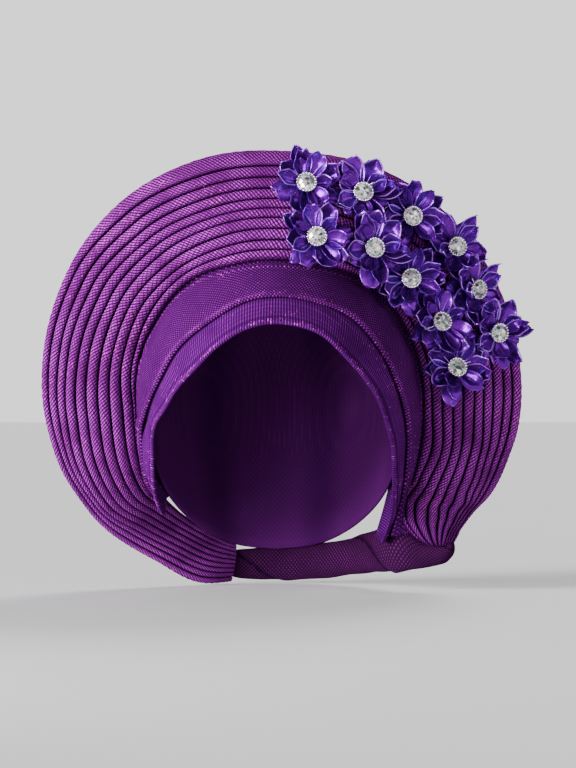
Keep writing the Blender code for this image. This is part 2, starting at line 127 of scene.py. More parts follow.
# Angles are in degrees round the head from the face, and a height is a share of the crown height. out is
# the way the fan stands out, from straight up. reach and back are shares of FAN_REACH.
FAN_ROWS = [
    FanRow(-158, -0.97, 0.00, -172, 0.34, -0.08),
    FanRow(-147, -0.90, 0.00, -158, 0.46, -0.12),
    FanRow(-132, -0.78, 0.00, -144, 0.49, -0.06),
    FanRow(-116, -0.63, 0.00, -133, 0.56, 0.12),
    FanRow(-100, -0.51, 0.00, -108, 0.625, 0.27),
    FanRow(-90, -0.30, 0.00, -98, 0.75, 0.34),
    FanRow(-88, -0.04, 0.05, -91, 0.835, 0.28),
    FanRow(-85, 0.23, 0.20, -77, 0.86, 0.28),
    FanRow(-80, 0.50, 0.00, -59, 0.91, 0.30),
    FanRow(-60, 0.72, 0.00, -41, 0.94, 0.42),
    FanRow(-26, 0.81, 0.00, -20, 0.99, 0.54),
    FanRow(3, 0.83, 0.00, 4, 0.965, 0.55),
    FanRow(36, 0.80, 0.00, 28, 0.98, 0.48),
    FanRow(66, 0.71, 0.00, 48, 0.945, 0.37),
    FanRow(78, 0.48, 0.30, 67, 0.92, 0.35),
    FanRow(84, 0.22, 0.50, 83, 0.90, 0.33),
    FanRow(88, -0.07, 0.53, 93, 0.87, 0.27),
    FanRow(90, -0.28, 0.45, 96, 0.81, 0.25),
    FanRow(92, -0.48, 0.30, 98, 0.74, 0.22),
    FanRow(93, -0.63, 0.05, 98, 0.655, 0.20),
    FanRow(91, -0.77, 0.40, 98, 0.51, 0.16),
    FanRow(90, -0.87, 1.30, 94, 0.36, 0.12),
    FanRow(91, -0.92, 2.05, 92, 0.22, 0.08),
]

BrowRow = namedtuple("BrowRow", "low_azimuth low high_azimuth high belly")
BROW_ROWS = [
    BrowRow(-100, -0.74, -112, -0.60, 0.0),
    BrowRow(-90, -0.64, -106, -0.46, 0.5),
    BrowRow(-80, -0.52, -101, -0.32, 1.1),
    BrowRow(-74, -0.38, -98, -0.16, 0.9),
    BrowRow(-71, -0.24, -93, 0.00, 0.2),
    BrowRow(-65, -0.13, -84, 0.14, 0.1),
    BrowRow(-56, -0.04, -74, 0.27, 0.0),
    BrowRow(-47, 0.09, -62, 0.38, 0.0),
    BrowRow(-37, 0.21, -47, 0.52, 0.0),
    BrowRow(-27, 0.34, -33, 0.62, 0.0),
    BrowRow(-15, 0.44, -18, 0.68, 0.0),
    BrowRow(-2, 0.48, -2, 0.70, 0.0),
    BrowRow(12, 0.46, 14, 0.69, 0.0),
    BrowRow(23, 0.40, 29, 0.65, 0.0),
    BrowRow(33, 0.27, 45, 0.56, 0.1),
    BrowRow(42, 0.14, 58, 0.42, 0.2),
    BrowRow(50, 0.01, 72, 0.26, 0.4),
    BrowRow(57, -0.15, 86, 0.07, 0.6),
    BrowRow(63, -0.28, 95, -0.10, 0.8),
    BrowRow(67, -0.42, 101, -0.27, 0.7),
    BrowRow(72, -0.56, 105, -0.42, 0.9),
    BrowRow(80, -0.68, 108, -0.56, 1.0),
    BrowRow(90, -0.80, 110, -0.72, 0.9),
    BrowRow(98, -0.92, 112, -0.88, 0.1),
]

CrossRow = namedtuple("CrossRow", "fan_row azimuth height lift")
CROSS_ROWS = [
    CrossRow(3.0, -112, -0.66, 0.30),
    CrossRow(3.9, -97, -0.55, 0.50),
    CrossRow(4.8, -88, -0.37, 0.45),
    CrossRow(5.6, -84, -0.19, 0.35),
    CrossRow(6.0, -74, -0.08, 0.20),
    CrossRow(7.0, -60, 0.12, 0.00),
    CrossRow(8.0, -48, 0.33, 0.00),
    CrossRow(9.0, -33, 0.48, 0.00),
    CrossRow(10.0, -16, 0.60, 0.00),
    CrossRow(11.0, 2, 0.63, 0.00),
    CrossRow(12.0, 20, 0.60, 0.00),
    CrossRow(13.0, 39, 0.51, 0.10),
    CrossRow(14.0, 52, 0.32, 0.20),
    CrossRow(15.0, 61, 0.11, 0.40),
    CrossRow(16.0, 68, -0.06, 0.55),
    CrossRow(17.0, 74, -0.24, 0.52),
    CrossRow(18.0, 78, -0.42, 0.45),
    CrossRow(18.5, 81, -0.53, 0.40),
    CrossRow(19.1, 85, -0.64, 0.30),
    CrossRow(19.8, 88, -0.76, 0.15),
    CrossRow(20.6, 90, -0.87, 0.05),
]

HemRow = namedtuple("HemRow", "height")
HEM_ROWS = [
    HemRow(0.57),
    HemRow(0.42),
    HemRow(0.08),
    HemRow(-0.36),
    HemRow(-0.72),
    HemRow(-0.94),
    HemRow(-1.0),
]

RollRow = namedtuple("RollRow", "azimuth height stand tall deep")
ROLL_ROWS = [
    RollRow(92, -0.945, 1.02, 0.45, 0.60),
    RollRow(93, -0.980, 0.92, 0.75, 0.90),
    RollRow(96, -0.985, 0.66, 1.05, 1.00),
    RollRow(100, -0.93, 0.38, 1.95, 1.00),
    RollRow(107, -0.94, 0.26, 1.98, 0.90),
    RollRow(117, -0.985, 0.23, 1.62, 0.85),
    RollRow(134, -1.03, 0.21, 1.40, 0.85),
    RollRow(154, -1.07, 0.21, 1.35, 0.80),
    RollRow(172, -1.09, 0.22, 1.30, 0.75),
    RollRow(186, -1.10, 0.23, 1.25, 0.70),
    RollRow(200, -1.10, 0.27, 1.05, 0.50),
    RollRow(210, -1.09, 0.36, 0.70, 0.40),
]

FlowerRow = namedtuple("FlowerRow", "fan_row across turn nod spin wire length")
# wire is the way a binding wire's end points, seen from the front, and length how far it shows, 0 for none.
FLOWER_ROWS = [
    FlowerRow(11.26, 0.60, 0, 15, 0, 0, 0.0),
    FlowerRow(11.92, 0.64, -5, 10, 30, 40, 0.0028),
    FlowerRow(12.60, 0.68, -15, 0, 0, 0, 0.0),
    FlowerRow(13.37, 0.76, 0, 0, 12, 0, 0.0),
    FlowerRow(11.59, 0.16, -5, 15, 42, 0, 0.0),
    FlowerRow(12.47, 0.24, -15, 0, 12, 0, 0.0),
    FlowerRow(13.39, 0.24, -10, 0, 24, 0, 0.0),
    FlowerRow(13.95, 0.68, 15, 0, 0, 140, 0.0034),
    FlowerRow(14.31, 0.22, 0, -20, 24, 207, 0.0080),
    FlowerRow(14.63, 0.74, 10, 0, 36, 180, 0.0026),
    FlowerRow(15.19, 0.25, -5, -25, 6, 22, 0.0028),
]

PleatRow = namedtuple("PleatRow", "fan_row one two three four five six seven eight nine")
# Where the grooves between the ten pleats lie across the fan, from its inner edge to its rim
PLEAT_ROWS = [
    PleatRow(0.0, 0.040, 0.120, 0.220, 0.320, 0.430, 0.540, 0.650, 0.760, 0.880),
    PleatRow(3.0, 0.020, 0.124, 0.230, 0.330, 0.440, 0.550, 0.660, 0.760, 0.880),
    PleatRow(4.0, 0.016, 0.105, 0.230, 0.360, 0.490, 0.620, 0.730, 0.820, 0.900),
    PleatRow(5.0, 0.016, 0.111, 0.238, 0.361, 0.490, 0.613, 0.730, 0.820, 0.900),
    PleatRow(6.0, 0.022, 0.119, 0.238, 0.358, 0.480, 0.597, 0.711, 0.807, 0.908),
    PleatRow(7.0, 0.042, 0.135, 0.238, 0.347, 0.464, 0.570, 0.687, 0.788, 0.905),
    PleatRow(8.0, 0.067, 0.156, 0.252, 0.353, 0.451, 0.557, 0.666, 0.772, 0.900),
    PleatRow(9.0, 0.058, 0.125, 0.212, 0.310, 0.400, 0.491, 0.589, 0.703, 0.831),
    PleatRow(10.0, 0.060, 0.130, 0.217, 0.307, 0.384, 0.467, 0.562, 0.669, 0.788),
    PleatRow(15.6, 0.066, 0.159, 0.262, 0.358, 0.467, 0.562, 0.661, 0.775, 0.876),
    PleatRow(17.0, 0.105, 0.209, 0.307, 0.406, 0.515, 0.624, 0.709, 0.800, 0.884),
    PleatRow(18.0, 0.060, 0.165, 0.283, 0.400, 0.520, 0.650, 0.735, 0.820, 0.889),
    PleatRow(19.0, 0.045, 0.160, 0.330, 0.468, 0.605, 0.765, 0.830, 0.885, 0.935),
    PleatRow(20.0, 0.050, 0.180, 0.370, 0.540, 0.660, 0.790, 0.850, 0.900, 0.950),
    PleatRow(22.0, 0.040, 0.150, 0.300, 0.430, 0.540, 0.640, 0.720, 0.800, 0.900),
]


def row_at(rows, share):
    """The row a share of the way through a table, on a smooth curve through its rows."""
    last = len(rows) - 1
    place = max(0.0, min(1.0, share)) * last
    first = min(int(place), last - 1)
    part = place - first
    near = [rows[max(0, min(last, first + step))] for step in (-1, 0, 1, 2)]
    values = []
    for before, start, end, after in zip(*near):
        slope = (end - before) / 2
        slope_after = (after - start) / 2
        rise = end - start
        bend = 3 * rise - 2 * slope - slope_after
        twist = slope + slope_after - 2 * rise
        values.append(start + part * (slope + part * (bend + part * twist)))
    return type(rows[0])(*values)


def head_point(azimuth, height, standoff):
    """A point a standoff away from the head."""
    angle = math.radians(azimuth)
    deep = HEAD_FRONT if math.cos(angle) > 0 else HEAD_BACK
    if height > 0:
        level = math.sqrt(max(0.0, 1 - height * height))
        across = (HEAD_HALF_WIDTH + standoff) * level
        along = (deep + standoff) * level
        z = -CROWN_HEIGHT + height * (CROWN_HEIGHT + standoff)
    else:
        taper = NAPE_TAPER if math.cos(angle) <= 0 else 0.0
        across = HEAD_HALF_WIDTH * (1 - SIDE_TAPER * height * height) + standoff
        along = deep * (1 - taper * height * height) + standoff
        z = -CROWN_HEIGHT + height * CROWN_HEIGHT
    return Vector((across * math.sin(angle), -along * math.cos(angle), z))


def brow_inside():
    return CAP_WALL + LAYER_GAP


def cross_inside():
    return brow_inside() + BAND_WALL + LAYER_GAP


def fan_seat():
    return cross_inside() + BAND_WALL + EDGE_GAP + FAN_WALL / 2


def fan_edges(fan_row):
    """The fan's inner edge and its rim at a place in FAN_ROWS."""
    row = row_at(FAN_ROWS, fan_row / (len(FAN_ROWS) - 1))
    inner = head_point(row.azimuth, row.height, fan_seat() + row.stand * FAN_STAND)
    out = math.radians(row.out)
    way = Vector((row.reach * math.sin(out), row.back, row.reach * math.cos(out)))
    return inner, inner + FAN_REACH * way


def fan_normal(fan_row):
    """The way the fan faces at a place in FAN_ROWS, the same all across it."""
    step = 0.2
    inner, rim = fan_edges(fan_row)
    before = sum(fan_edges(fan_row - step), Vector())
    after = sum(fan_edges(fan_row + step), Vector())
    return (after - before).cross(rim - inner).normalized()


def fan_foot(fan_row):
    """How far the fan's wall reaches in past its inner edge, because the fan leans over there."""
    row = row_at(FAN_ROWS, fan_row / (len(FAN_ROWS) - 1))
    outwards = head_point(row.azimuth, row.height, FAN_STAND) - head_point(row.azimuth, row.height, 0.0)
    return FAN_WALL / 2 * abs(outwards.normalized().dot(fan_normal(fan_row)))


def between(start, end, share):
    return start + share * (end - start)


def smooth(low, high, value):
    """0 below low, 1 above high, and a smooth step between."""
    share = max(0.0, min(1.0, (value - low) / (high - low)))
    return share * share * (3 - 2 * share)


def bell(value, middle, width):
    return math.exp(-(((value - middle) / width) ** 2))


def ripple(*place):
    """Smooth noise about 0 at a place of up to three numbers."""
    return noise.noise(Vector((*place, 0.0, 0.0)[:3]))


def new_object(name, mesh, finish):
    made = bpy.data.objects.new(name, mesh)
    bpy.context.scene.collection.objects.link(made)
    if not mesh.materials:
        mesh.materials.append(finish)
    return made


def face_outwards(mesh):
    shape = bmesh.new()
    shape.from_mesh(mesh)
    bmesh.ops.recalc_face_normals(shape, faces=shape.faces)
    shape.to_mesh(mesh)
    shape.free()


def add_marks(mesh, marks):
    """Stores lists of numbers, one for each point, that the finishes read."""
    for name, values in marks.items():
        mesh.attributes.new(name, "FLOAT", "POINT").data.foreach_set("value", values)


def ring_piece(name, rings, uvs, marks, finish):
    """A closed piece through a row of closed sections. Each row of uvs has one more entry than its ring."""
    columns = len(rings[0])
    faces = []
    corners = []
    for i in range(len(rings) - 1):
        for j in range(columns):
            k = (j + 1) % columns
            faces.append((i * columns + j, i * columns + k, (i + 1) * columns + k, (i + 1) * columns + j))
            corners += [uvs[i][j], uvs[i][j + 1], uvs[i + 1][j + 1], uvs[i + 1][j]]
    for i in (0, len(rings) - 1):
        faces.append(tuple(i * columns + j for j in range(columns)))
        corners += uvs[i][:columns]
    mesh = bpy.data.meshes.new(name)
    mesh.from_pydata([point for ring in rings for point in ring], [], faces)
    layer = mesh.uv_layers.new(name="weave")
    layer.data.foreach_set("uv", [value for corner in corners for value in corner])
    add_marks(mesh, {mark: [value for row in rows for value in row] for mark, rows in marks.items()})
    face_outwards(mesh)
    mesh.shade_smooth()
    return new_object(name, mesh, finish)


def ride(piece, slot, *nodes):
    """The piece goes with the one body and stands for these nodes."""
    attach(piece, "root")
    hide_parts(*nodes)
    return piece


# The finishes


def calc(tree, operation, *values):
    """A Math node's result, from sockets and numbers."""
    node = tree.nodes.new("ShaderNodeMath")
    node.operation = operation
    for socket, value in zip(node.inputs, values):
        if isinstance(value, (int, float)):
            socket.default_value = value
        else:
            tree.links.new(value, socket)
    return node.outputs[0]


def mixed(tree, factor, first, second):
    """A colour between two, each a socket or a plain colour."""
    node = tree.nodes.new("ShaderNodeMix")
    node.data_type = "RGBA"
    for socket, value in ((node.inputs[0], factor), (node.inputs[6], first), (node.inputs[7], second)):
        if isinstance(value, tuple):
            socket.default_value = (*value, 1.0)
        elif isinstance(value, float):
            socket.default_value = value
        else:
            tree.links.new(value, socket)
    return node.outputs[2]


def scaled(tree, value, low, high):
    """The value's run from low to high as 0 to 1, held at both ends."""
    node = tree.nodes.new("ShaderNodeMapRange")
    node.interpolation_type = "SMOOTHSTEP"
    tree.links.new(value, node.inputs[0])
    node.inputs[1].default_value = low
    node.inputs[2].default_value = high
    return node.outputs[0]


def mark(tree, name):
    node = tree.nodes.new("ShaderNodeAttribute")
    node.attribute_name = name
    return node.outputs["Fac"]


def cloudy(tree, scale, detail=2.0):
    """Noise through the object's own space."""
    place = tree.nodes.new("ShaderNodeTexCoord")
    node = tree.nodes.new("ShaderNodeTexNoise")
    node.inputs["Scale"].default_value = scale
    node.inputs["Detail"].default_value = detail
    tree.links.new(place.outputs["Object"], node.inputs["Vector"])
    return node.outputs["Fac"]


def weave_place(tree):
    """The two ways along the cloth, in millimetres."""
    layer = tree.nodes.new("ShaderNodeUVMap")
    layer.uv_map = "weave"
    parts = tree.nodes.new("ShaderNodeSeparateXYZ")
    tree.links.new(layer.outputs[0], parts.inputs[0])
    return parts.outputs[0], parts.outputs[1]


def zigzag(tree, value):
    """Up and down between 0 and 1 once for each whole number."""
    return calc(tree, "MULTIPLY", calc(tree, "PINGPONG", value, 0.5), 2.0)


def twill(tree, along, across, pitch):
    """Short raised dashes that lean across the cloth, each row half a step on from the last."""
    lean = calc(tree, "ADD", calc(tree, "DIVIDE", along, pitch), calc(tree, "DIVIDE", across, pitch * 1.3))
    lean = calc(tree, "ADD", lean, calc(tree, "MULTIPLY", cloudy(tree, 110.0), 1.2))
    other = calc(tree, "DIVIDE", along, pitch * 2.0)
    other = calc(tree, "SUBTRACT", other, calc(tree, "DIVIDE", across, pitch * 1.1))
    line = scaled(tree, zigzag(tree, lean), 0.15, 0.75)
    gap = scaled(tree, zigzag(tree, other), 0.0, 0.5)
    return calc(tree, "MULTIPLY", line, calc(tree, "ADD", calc(tree, "MULTIPLY", gap, 0.7), 0.3))


def dots(tree, along, across, pitch):
    """A lattice of small raised diamonds."""
    first = calc(tree, "DIVIDE", calc(tree, "ADD", along, across), pitch)
    second = calc(tree, "DIVIDE", calc(tree, "SUBTRACT", along, across), pitch)
    return calc(tree, "MULTIPLY", zigzag(tree, first), zigzag(tree, second))


def ribs(tree, along, across, pitch):
    """Fine ribs across the cloth, each of short stitches."""
    rib = scaled(tree, zigzag(tree, calc(tree, "DIVIDE", along, pitch)), 0.1, 0.9)
    stitch = zigzag(tree, calc(tree, "DIVIDE", across, pitch * 1.7))
    return calc(tree, "MULTIPLY", rib, calc(tree, "ADD", calc(tree, "MULTIPLY", stitch, 0.5), 0.5))


ClothLook = namedtuple("ClothLook", "weave pitch depth groove deep body light glitter")
# weave is the pattern's function, pitch its step in millimetres and depth its relief in metres. groove is
# the painted shade colour between the pleats and in the creases, deep and light the low and high threads, and
# glitter how much of the metal thread shows.
CLOTH_LOOKS = {
    "pleated": ClothLook(
        twill, 2.3, 0.0005,
        (0.012, 0.000, 0.028), (0.046, 0.002, 0.060), (0.128, 0.009, 0.152), (0.430, 0.050, 0.520), 0.45,
    ),
    "cross": ClothLook(
        dots, 2.5, 0.0005,
        (0.010, 0.000, 0.024), (0.028, 0.001, 0.044), (0.080, 0.006, 0.113), (0.300, 0.024, 0.385), 0.25,
    ),
    "brow": ClothLook(
        ribs, 1.7, 0.0005,
        (0.010, 0.000, 0.026), (0.033, 0.001, 0.056), (0.066, 0.004, 0.102), (0.190, 0.014, 0.280), 0.20,
    ),
    "plain": ClothLook(
        dots, 3.4, 0.00008,
        (0.010, 0.000, 0.022), (0.052, 0.004, 0.071), (0.058, 0.005, 0.080), (0.080, 0.008, 0.106), 0.0,
    ),
    # Painted shade: the roll's cloth is a darker copy of the cloth, standing in for the shade the tail lies
    # in at the nape
    "shaded_roll": ClothLook(
        dots, 2.5, 0.0005,
        (0.007, 0.001, 0.010), (0.014, 0.002, 0.017), (0.033, 0.004, 0.037), (0.160, 0.018, 0.170), 0.0,
    ),
}


def cloth_material(name):
    """Metal-thread cloth: a woven relief, with painted shade in its grooves and creases, a painted highlight
    along its hems, and pink glints on its crests.
    """
    look = CLOTH_LOOKS[name]
    made = bpy.data.materials.new("cloth_" + name)
    made.use_nodes = True
    tree = made.node_tree
    shader = tree.nodes["Principled BSDF"]
    along, across = weave_place(tree)
    relief = look.weave(tree, along, across, look.pitch)
    low = mixed(tree, scaled(tree, relief, 0.0, 0.45), look.deep, look.body)
    uneven = scaled(tree, cloudy(tree, 55.0, 4.0), 0.20, 0.75)
    # The hem_highlight mark paints a highlight along the hems: more of the light threads, and more glitter
    # flecks there
    hem_highlight = mark(tree, "hem_highlight")
    high = scaled(tree, calc(tree, "ADD", relief, calc(tree, "MULTIPLY", hem_highlight, 0.4)), 0.35, 0.95)
    threads = mixed(tree, calc(tree, "MULTIPLY", high, uneven), low, look.light)
    cells = tree.nodes.new("ShaderNodeTexVoronoi")
    cells.voronoi_dimensions = "2D"
    cells.inputs["Scale"].default_value = 0.85
    layer = tree.nodes.new("ShaderNodeUVMap")
    layer.uv_map = "weave"
    tree.links.new(layer.outputs[0], cells.inputs["Vector"])
    chance = tree.nodes.new("ShaderNodeSeparateColor")
    tree.links.new(cells.outputs["Color"], chance.inputs[0])
    patch = scaled(tree, cloudy(tree, 22.0), 0.45, 0.68)
    wanted = calc(tree, "MULTIPLY", patch, look.glitter * 0.5)
    wanted = calc(tree, "ADD", wanted, calc(tree, "MULTIPLY", hem_highlight, 0.20))
    fleck = scaled(tree, calc(tree, "ADD", chance.outputs[0], wanted), 0.96, 1.06)
    spark = calc(tree, "MULTIPLY", fleck, scaled(tree, relief, 0.15, 0.6))
    spark = calc(tree, "MULTIPLY", spark, 0.8 if look.glitter else 0.0)
    sparkling = mixed(tree, spark, threads, (0.60, 0.070, 0.56))
    # Painted shade: where the lit_share mark is low the colour goes over to the groove colour, darkening
    # grooves, creases and shaded parts
    crest = scaled(tree, mark(tree, "lit_share"), 0.12, 0.82)
    colour = mixed(tree, crest, look.groove, sparkling)
    tree.links.new(colour, shader.inputs["Base Color"])
    rough = calc(tree, "SUBTRACT", 0.58, calc(tree, "MULTIPLY", spark, 0.25))
    tree.links.new(rough, shader.inputs["Roughness"])
    shader.inputs["Specular IOR Level"].default_value = 0.0
    bump = tree.nodes.new("ShaderNodeBump")
    bump.inputs["Strength"].default_value = 0.9
    bump.inputs["Distance"].default_value = look.depth
    tree.links.new(relief, bump.inputs["Height"])
    tree.links.new(bump.outputs[0], shader.inputs["Normal"])
    return made


def satin_material():
    """Ribbon satin: deep violet folds, a painted highlight in paler lavender on parts of their edges, and a
    fine thread grain.
    """
    made = bpy.data.materials.new("satin")
    made.use_nodes = True
    tree = made.node_tree
    shader = tree.nodes["Principled BSDF"]
    body = mixed(
        tree, scaled(tree, cloudy(tree, 70.0), 0.3, 0.7), (0.080, 0.001, 0.210), (0.170, 0.004, 0.400)
    )
    # Painted highlight: parts of the petals' edges go over to pale lavender
    edge_glare = scaled(tree, cloudy(tree, 90.0), 0.45, 0.62)
    edge_glare = calc(tree, "MULTIPLY", edge_glare, scaled(tree, mark(tree, "edge"), 0.45, 1.0))
    tree.links.new(mixed(tree, edge_glare, body, (0.46, 0.16, 0.86)), shader.inputs["Base Color"])
    grain = calc(tree, "MULTIPLY", cloudy(tree, 300.0), 0.12)
    tree.links.new(calc(tree, "ADD", 0.22, grain), shader.inputs["Roughness"])
    shader.inputs["Metallic"].default_value = 0.80
    shader.inputs["Specular IOR Level"].default_value = 0.30
    shader.inputs["Specular Tint"].default_value = (0.62, 0.25, 1.0, 1.0)
    bump = tree.nodes.new("ShaderNodeBump")
    bump.inputs["Strength"].default_value = 0.25
    bump.inputs["Distance"].default_value = 0.0002
    tree.links.new(cloudy(tree, 900.0, 3.0), bump.inputs["Height"])
    tree.links.new(bump.outputs[0], shader.inputs["Normal"])
    return made


def silver_material():
    made = bpy.data.materials.new("silver")
    made.use_nodes = True
    tree = made.node_tree
    shader = tree.nodes["Principled BSDF"]
    shader.inputs["Metallic"].default_value = 1.0
    grime = scaled(tree, cloudy(tree, 400.0, 3.0), 0.3, 0.7)
    tree.links.new(mixed(tree, grime, (0.62, 0.61, 0.62), (0.90, 0.89, 0.88)), shader.inputs["Base Color"])
    tree.links.new(calc(tree, "ADD", 0.14, calc(tree, "MULTIPLY", grime, 0.12)), shader.inputs["Roughness"])
    return made


def crystal_material():
    """A foil-backed cut stone with painted reflections: each facet has its own shade from dark to white, some
    with a faint tint, standing in for the light that the foil and facets throw back.
    """
    made = bpy.data.materials.new("crystal")
    made.use_nodes = True
    tree = made.node_tree
    shader = tree.nodes["Principled BSDF"]
    ramp = tree.nodes.new("ShaderNodeValToRGB")
    ramp.color_ramp.interpolation = "CONSTANT"
    # Painted reflections: the facets' shades run from near black to white, with pink, green and straw tints
    stops = (
        (0.00, (0.070, 0.080, 0.080)),
        (0.20, (0.230, 0.270, 0.240)),
        (0.34, (0.520, 0.300, 0.480)),
        (0.48, (0.300, 0.500, 0.420)),
        (0.60, (0.560, 0.520, 0.360)),
        (0.72, (0.660, 0.660, 0.700)),
        (0.86, (1.000, 1.000, 1.000)),
    )
    for place, colour in stops[2:]:
        ramp.color_ramp.elements.new(place)
    for element, (place, colour) in zip(ramp.color_ramp.elements, stops):
        element.position = place
        element.color = (*colour, 1.0)
    tree.links.new(mark(tree, "facet_flash"), ramp.inputs[0])
    tree.links.new(ramp.outputs[0], shader.inputs["Base Color"])
    shader.inputs["Metallic"].default_value = 0.35
    shader.inputs["Roughness"].default_value = 0.08
    shader.inputs["Coat Weight"].default_value = 1.0
    shader.inputs["Coat Roughness"].default_value = 0.03
    return made


# The pleated fan


def pleat_edges(fan_row):
    """The grooves' places across the fan, its two edges included."""
    last = PLEAT_ROWS[-1]
    for before, after in zip(PLEAT_ROWS, PLEAT_ROWS[1:]):
        if fan_row <= after.fan_row:
            share = smooth(before.fan_row, after.fan_row, fan_row)
            return [0.0] + [between(a, b, share) for a, b in zip(before[1:], after[1:])] + [1.0]
    return [0.0, *last[1:], 1.0]


def pleat_front(pleat, start, end, fan_row, crest):
    """One pleat's front, a roll that tucks in under itself: (across, rise, height share, way round) each."""
    tuck = math.radians(TUCK_ANGLE)
    wander = 0.05 * ripple(fan_row * 1.3, pleat * 7.1)
    half = (end - start) / 2 * TUBE_SHARE
    middle = (start + end) / 2 + wander * half
    full = crest * TUBE_RISE * (1 + 0.16 * ripple(fan_row * 0.9 + 40, pleat * 3.7))
    full *= min(1.1, 0.25 + 0.75 * (end - start) * PLEAT_COUNT)
    points = []
    for step in range(TUBE_POINTS):
        turn = -tuck + (math.pi + 2 * tuck) * step / (TUBE_POINTS - 1)
        share = (math.sin(turn) + math.sin(tuck)) / (1 + math.sin(tuck))
        round_way = (turn - math.pi / 2) * half * FAN_REACH
        points.append((middle - half * math.cos(turn), full * share, share, round_way))
    # The innermost pleat's height share, used as its lit_share mark, is held at 0.45 or more, so it takes
    # less of the painted groove shade
    if pleat == 0:
        points = [(across, rise, max(share, 0.45), way) for across, rise, share, way in points]
        points[0] = (start, 0.0, 0.45, points[0][3])
    return points


def fan_section(fan_row):
    """The fan's closed section: (across, rise, lit_share mark for the painted groove shade, distance across
    in metres) each.
    """
    inner, rim = fan_edges(fan_row)
    crest = PLEAT_RISE * min(1.0, (rim - inner).length / FAN_REACH) ** 0.7
    edges = pleat_edges(fan_row)
    section = []
    for pleat in range(PLEAT_COUNT):
        for across, rise, share, round_way in pleat_front(
            pleat, edges[pleat], edges[pleat + 1], fan_row, crest
        ):
            section.append((across, rise + FAN_WALL / 2, share, pleat * 0.0137 + round_way))
    for pleat in range(PLEAT_COUNT - 1, -1, -1):
        for step in range(BACK_POINTS):
            part = 1 - (step + 0.5) / BACK_POINTS
            across = between(edges[pleat], edges[pleat + 1], part)
            rise = crest * 0.8 * math.sin(math.pi * part) ** 1.5 - FAN_WALL / 2
            # Painted shade on the back: darker in the hollow in the middle of each pleat's back
            section.append((across, rise, 0.25 + 0.75 * abs(2 * part - 1), (10 + across) * FAN_REACH))
    return section


def fan_cloth(finish):
    """The big fan, one sheet in ten rolled pleats from the nape, over the top, down to the gather."""
    last = len(FAN_ROWS) - 1
    rings = []
    uvs = []
    lit_shares = []
    hem_highlights = []
    along = None
    for station in range(FAN_STATIONS + 1):
        fan_row = station / FAN_STATIONS * last
        inner, rim = fan_edges(fan_row)
        swing = GATHER_SWING * smooth(17.8, 19.2, fan_row) * smooth(22.0, 20.6, fan_row)
        inner = inner - Vector((swing, 0, 0))
        normal = fan_normal(fan_row)
        width = (rim - inner).length
        ring = []
        section = fan_section(fan_row)
        for across, rise, share, way in section:
            bulge = FAN_BULGE * 4 * across * (1 - across) * width / FAN_REACH
            pucker = 0.00022 * math.sin(fan_row * 41 + across * 9) * smooth(0.9, 1.0, across)
            ring.append(
                inner.lerp(rim, across) + normal * (bulge + rise) + (rim - inner).normalized() * pucker
            )
        crests = [ring[pleat * TUBE_POINTS + TUBE_POINTS // 2] for pleat in range(PLEAT_COUNT)]
        if along is None:
            along = [0.0] * PLEAT_COUNT
        else:
            along = [far + (here - there).length for far, here, there in zip(along, crests, crests_before)]
        crests_before = crests
        ways = []
        for index, (across, rise, share, way) in enumerate(section):
            front = index < PLEAT_COUNT * TUBE_POINTS
            pleat = (
                index // TUBE_POINTS
                if front
                else PLEAT_COUNT - 1 - (index - PLEAT_COUNT * TUBE_POINTS) // BACK_POINTS
            )
            ways.append((along[pleat] * 1000, way * 1000))
        rings.append(ring)
        uvs.append(ways + [ways[0]])
        # Painted shade: the pleats darker on the right side, and more so towards the gather
        shade = 1 - 0.16 * smooth(14.5, 16.5, fan_row) - 0.32 * smooth(17.5, 21.0, fan_row)
        lit_shares.append([share * shade for across, rise, share, way in section])
        hem_highlights.append([0.0] * len(section))
    piece = ring_piece("fan_cloth", rings, uvs, {"lit_share": lit_shares, "hem_highlight": hem_highlights}, finish)
    ride(piece, "cloth", "pleated_fan")


# The bands and the cap


def band_section(width, outer):
    """A band's closed section: (distance from the lower edge, height in the wall) each. outer gives the
    outer side's height above the wall."""
    radius = BAND_WALL / 2
    section = []
    for step in range(8):
        section.append((between(radius, width, step / 7), 0.0))
    for step in range(BAND_POINTS):
        far = between(width, radius, (step / (BAND_POINTS - 1)) ** 1.0)
        section.append((far, BAND_WALL + outer(far)))
    for step in range(1, 8):
        turn = math.pi / 2 + math.pi * step / 8
        section.append(
            (
                radius + radius * math.cos(turn),
                radius + radius * math.sin(turn) + outer(0.0) * (1 - step / 8),
            )
        )
    return section


def band_piece(name, station_at, finish):
    """A band from a function that gives each station's place function, width, outer side and marks."""
    rings = []
    uvs = []
    lit_shares = []
    hem_highlights = []
    along = 0.0
    before = None
    for station in range(BAND_STATIONS + 1):
        place, width, outer, lit_share, hem_highlight = station_at(station / BAND_STATIONS)
        section = band_section(width, outer)
        ring = [place(far / width, rise) for far, rise in section]
        middle = ring[8 + BAND_POINTS // 2]
        along += (middle - before).length if before else 0.0
        before = middle
        ways = [(along * 1000, far * 1000) for far, rise in section]
        rings.append(ring)
        uvs.append(ways + [ways[0]])
        # The band's inner side takes a middling lit_share, half way to the painted groove shade
        lit_shares.append([lit_share(far) if rise > BAND_WALL * 0.6 else 0.5 for far, rise in section])
        hem_highlights.append([hem_highlight(far) for far, rise in section])
    return ring_piece(name, rings, uvs, {"lit_share": lit_shares, "hem_highlight": hem_highlights}, finish)


